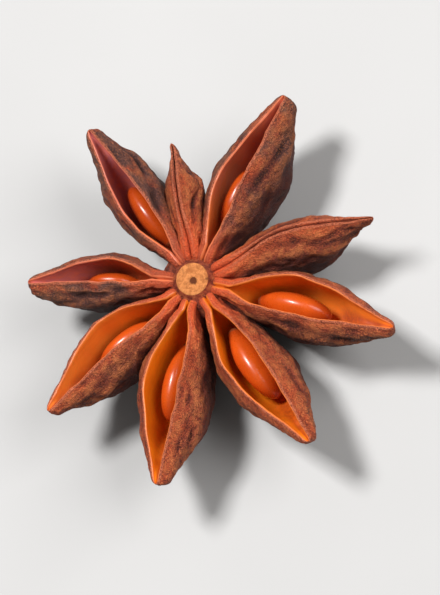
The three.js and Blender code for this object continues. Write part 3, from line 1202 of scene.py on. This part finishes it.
@dataclass(frozen=True)
class SeedCoat:
    """The seeds' hard coat: glossy orange-brown, duller at the hilum, with painted shade towards its ends and
    on the seeds of some carpels.
    """

    body: Colour = tint(190, 78, 18)
    shade: Colour = tint(150, 52, 14)
    hilum: Colour = tint(120, 62, 34)

    def build(self) -> bpy.types.Material:
        """Makes the material.

        Returns:
            The finished material.
        """
        material, wiring, shader = new_material("seed_coat")
        hilum, _, _ = wiring.layer("tone")
        along, greying_and_painted_light, _ = wiring.layer("place")
        grain = wiring.grain()
        broad = wiring.group(Effects.mottle(), Grain=grain, Size=2.2, Contrast=0.45)
        streaks = wiring.group(Effects.fibres(), Grain=grain, Length=3.0, Width=0.5).outputs[0]
        patches = wiring.times(broad.outputs["Patches"], 0.4)
        # Painted shade on the seeds of some carpels, mixed with random patches.
        tone_and_shade_share = wiring.math("ADD", patches, wiring.times(greying_and_painted_light, 0.35), clamp=True)
        colour = wiring.mix(tone_and_shade_share, self.body, self.shade)
        # Darker streaks, and painted shade towards both ends of the seed.
        for share in (wiring.ramp(streaks, 0.4, 0.7, 0.0, 0.3),
                      wiring.ramp(wiring.math("ABSOLUTE", along), 0.5, 0.95, 0.0, 0.6)):
            colour = wiring.mix(share, colour, self.shade)
        wiring.feed(shader, {
            "Base Color": wiring.mix(wiring.ramp(hilum, 0.3, 0.9), colour, self.hilum),
            "Roughness": wiring.ramp(broad.outputs["Specks"], 0.0, 1.0, 0.24, 0.36),
            "Specular IOR Level": 0.4,
            "Coat Weight": 0.06,
            "Coat Roughness": 0.18,
        })
        return material


@dataclass(frozen=True)
class PaleGround:
    """The plain pale surface that the pod lies on."""

    colour: Colour = tint(168, 167, 166)

    def build(self) -> bpy.types.Material:
        """Makes the material.

        Returns:
            The finished material.
        """
        material, wiring, shader = new_material("pale_ground")
        place = wiring.add("ShaderNodeNewGeometry").outputs["Position"]
        cloud = wiring.add("ShaderNodeTexNoise", {"Vector": place, "Scale": 40.0, "Detail": 2.0}).outputs[0]
        wiring.feed(shader, {"Base Color": self.colour, "Roughness": wiring.ramp(cloud, 0.3, 0.7, 0.62, 0.7)})
        return material


# ---- The studio ----


@dataclass(frozen=True)
class Lamp:
    """A soft square light that points at the pod: its place and side in metres, its power in watts."""

    name: str
    place: Triple
    size: float
    power: float
    aim: Triple = (0.0, 0.0, 0.004)

    def build(self) -> None:
        """Makes the light."""
        data = bpy.data.lights.new(self.name, "AREA")
        data.size = self.size
        data.energy = self.power
        lamp = in_scene(self.name, data)
        lamp.location = self.place
        lamp.rotation_euler = (Vector(self.aim) - Vector(self.place)).to_track_quat("-Z", "Y").to_euler()


@dataclass
class Studio:
    """The pale floor, two soft lights, and the camera that looks down on the star."""

    lamps: tuple[Lamp, ...] = (
        Lamp("key", (-0.17, 0.14, 0.55), 0.13, 4.7),
        Lamp("fill", (0.4, 0.1, 0.4), 0.36, 3.0),
    )
    surroundings: Colour = (1.0, 0.985, 0.97, 1.0)
    glow: float = 0.2
    tilt: float = 18.0
    azimuth: float = -35.0
    distance: float = 0.6
    aim: Triple = (0.0, 0.0, 0.0045)
    frame_width: float = 0.0345
    sensor: float = 36.0
    floor_size: float = 1.2
    floor_drop: float = 0.00002

    def floor(self) -> None:
        """Makes the floor."""
        half = self.floor_size / 2
        outline = ((-half, -half), (half, -half), (half, half), (-half, half))
        mesh = bpy.data.meshes.new("studio_floor")
        mesh.from_pydata([(x, y, -self.floor_drop) for x, y in outline], [], [(0, 1, 2, 3)])
        mesh.materials.append(PaleGround().build())
        floor = in_scene("studio_floor", mesh)

    def world(self) -> None:
        """Makes the pale surroundings."""
        world = bpy.data.worlds.new("studio_world")
        world.use_nodes = True
        background = world.node_tree.nodes["Background"]
        background.inputs["Color"].default_value = self.surroundings
        background.inputs["Strength"].default_value = self.glow
        bpy.context.scene.world = world

    def camera(self) -> None:
        """Makes the camera, with +Y up in its picture."""
        tilt, azimuth = math.radians(self.tilt), math.radians(self.azimuth)
        level = math.sin(tilt)
        back = Vector((level * math.cos(azimuth), level * math.sin(azimuth), math.cos(tilt)))
        up = (Vector((0, 1, 0)) - back * back.y).normalized()
        right = up.cross(back)
        data = bpy.data.cameras.new("view")
        data.sensor_fit = "HORIZONTAL"
        data.sensor_width = self.sensor
        data.lens = self.sensor * self.distance / self.frame_width
        data.clip_start = 0.01
        camera = in_scene("view", data)
        turn = Matrix((right, up, back)).transposed().to_4x4()
        camera.matrix_world = Matrix.Translation(Vector(self.aim) + back * self.distance) @ turn
        bpy.context.scene.camera = camera

    def build(self) -> None:
        """Makes the whole studio, which shows colours as they are, without a film curve."""
        bpy.context.scene.view_settings.view_transform = "Standard"
        self.floor()
        for lamp in self.lamps:
            lamp.build()
        self.world()
        self.camera()
        log.info("studio: floor, %d lights, camera", len(self.lamps))


def main() -> None:
    """Builds the studio, the husk and the seeds."""
    logging.basicConfig(level=logging.INFO, format="%(name)s: %(message)s")
    Studio().build()
    Husk().build()
    coat = SeedCoat().build()
    for number, carpel in enumerate(CARPELS):
        if carpel.is_open:
            Seed(carpel, number).build(coat)


if __name__ == "__main__":
    main()
